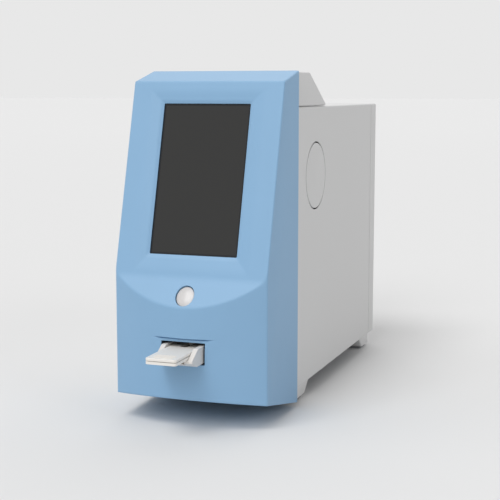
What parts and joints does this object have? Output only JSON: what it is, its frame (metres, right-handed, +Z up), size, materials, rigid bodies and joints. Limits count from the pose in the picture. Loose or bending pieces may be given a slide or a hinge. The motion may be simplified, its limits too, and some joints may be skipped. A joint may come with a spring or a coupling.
{
  "type": "fluorescence immunoassay analyzer",
  "caption": "Narrow bench-top test-card reader with a blue bezel, portrait screen, power button and motorised cassette tray at the front of a light grey body.",
  "frame": {"origin": "middle of the object's box at the table, on the soles of the feet, with the tray out", "axes": "+X to the right seen from the front, -Y towards the user, +Z up"},
  "size_m": [0.115, 0.3574, 0.2489],
  "materials": {
    "blue_shell": "fine-textured moulded plastic",
    "painted_case": "fine-textured light grey powder coat",
    "grey_moulding": "light grey moulded plastic",
    "black_plastic": "fine-textured black plastic",
    "screen_glass": "bonded cover glass, dark when off",
    "panel_black": "dark display module",
    "button_white": "gloss white plastic",
    "tray_white": "satin white plastic",
    "cassette_white": "satin off-white plastic",
    "strip_paper": "white membrane",
    "zinc_steel": "zinc-plated sheet",
    "bright_steel": "plain steel",
    "dark_metal": "black anodised",
    "head_black": "black anodised",
    "gear_plastic": "natural acetal",
    "circuit_board": "green solder mask",
    "rubber_dark": "matt",
    "pad_rubber": "matt grey",
    "paper": "thermal paper",
    "flat_cable": "grey flat cable"
  },
  "bodies": {
    "chassis": {"front_bezel": "blue_shell", "display_glass": "screen_glass", "display_panel": "panel_black", "display_pan": "bright_steel", "display_board": "circuit_board", "button_collar": "black_plastic", "button_switch": "black_plastic", "button_board": "circuit_board", "stepper_motor": "dark_metal", "transport_deck": "zinc_steel", "guide_rail": "bright_steel", "home_sensor": "black_plastic", "sensor_bracket": "zinc_steel", "optics_bridge": "zinc_steel", "optical_head": "head_black", "lens_barrel": "dark_metal", "excitation_board": "circuit_board", "detector_board": "circuit_board", "body_cover": "painted_case", "base_chassis": "zinc_steel", "front_frame": "zinc_steel", "rear_cap": "grey_moulding", "printer_hood": "grey_moulding", "printer_mechanism": "black_plastic", "printer_shelf": "zinc_steel", "paper_bay": "black_plastic", "board_carrier": "zinc_steel", "main_board": "circuit_board", "power_supply": "bright_steel", "port_board": "circuit_board", "network_port": "bright_steel", "usb_port_upper": "bright_steel", "usb_port_lower": "bright_steel", "serial_port": "bright_steel", "display_ribbon": "flat_cable", "mains_inlet": "black_plastic", "rocker_case": "black_plastic", "foot_front_left": "grey_moulding", "pad_front_left": "pad_rubber", "foot_rear_left": "grey_moulding", "pad_rear_left": "pad_rubber", "foot_front_right": "grey_moulding", "pad_front_right": "pad_rubber", "foot_rear_right": "grey_moulding", "pad_rear_right": "pad_rubber"},
    "tray": {"cassette_tray": "tray_white", "tray_rack": "gear_plastic", "guide_carriage": "zinc_steel"},
    "cassette": {"cassette_base": "cassette_white", "cassette_top": "cassette_white", "test_strip": "strip_paper"},
    "pinion": {"drive_pinion": "gear_plastic", "motor_shaft": "bright_steel"},
    "button": {"power_button": "button_white"},
    "switch": {"rocker": "rubber_dark"},
    "side_cover": {"paper_cover": "grey_moulding", "paper_spindle": "gear_plastic"},
    "roll": {"paper_roll": "paper"},
    "platen": {"platen_roller": "rubber_dark"}
  },
  "joints": [
    {"name": "tray_slide", "type": "slide", "parent": "chassis", "child": "tray", "axis": [0, 1, 0], "range_m": [0, 0.052]},
    {"name": "pinion_spin", "type": "hinge", "parent": "chassis", "child": "pinion", "pos_m": [0.02695, -0.05527, 0.0521], "axis": [0, 0, 1], "range_deg": [-380, 5]},
    {"name": "cassette_pull", "type": "slide", "parent": "tray", "child": "cassette", "axis": [0, -1, 0], "range_m": [0, 0.045]},
    {"name": "power_press", "type": "slide", "parent": "chassis", "child": "button", "axis": [0, 0.801, -0.5987], "range_m": [0, 0.0012], "stiffness_N_per_m": 500, "springref_m": -0.0004},
    {"name": "rocker_tilt", "type": "hinge", "parent": "chassis", "child": "switch", "pos_m": [-0.028, 0.1735, 0.084], "axis": [1, 0, 0], "range_deg": [-28, 0]},
    {"name": "side_cover_pull", "type": "slide", "parent": "chassis", "child": "side_cover", "axis": [1, 0, 0], "range_m": [0, 0.07]},
    {"name": "roll_spin", "type": "hinge", "parent": "side_cover", "child": "roll", "pos_m": [0.0226, -0.0127, 0.1702], "axis": [1, 0, 0], "continuous": true},
    {"name": "platen_spin", "type": "hinge", "parent": "chassis", "child": "platen", "pos_m": [0, -0.0127, 0.222], "axis": [1, 0, 0], "continuous": true}
  ],
  "couplings": [
    {"joint": "pinion_spin", "follows": "tray_slide", "rad_per_m": -125}
  ]
}
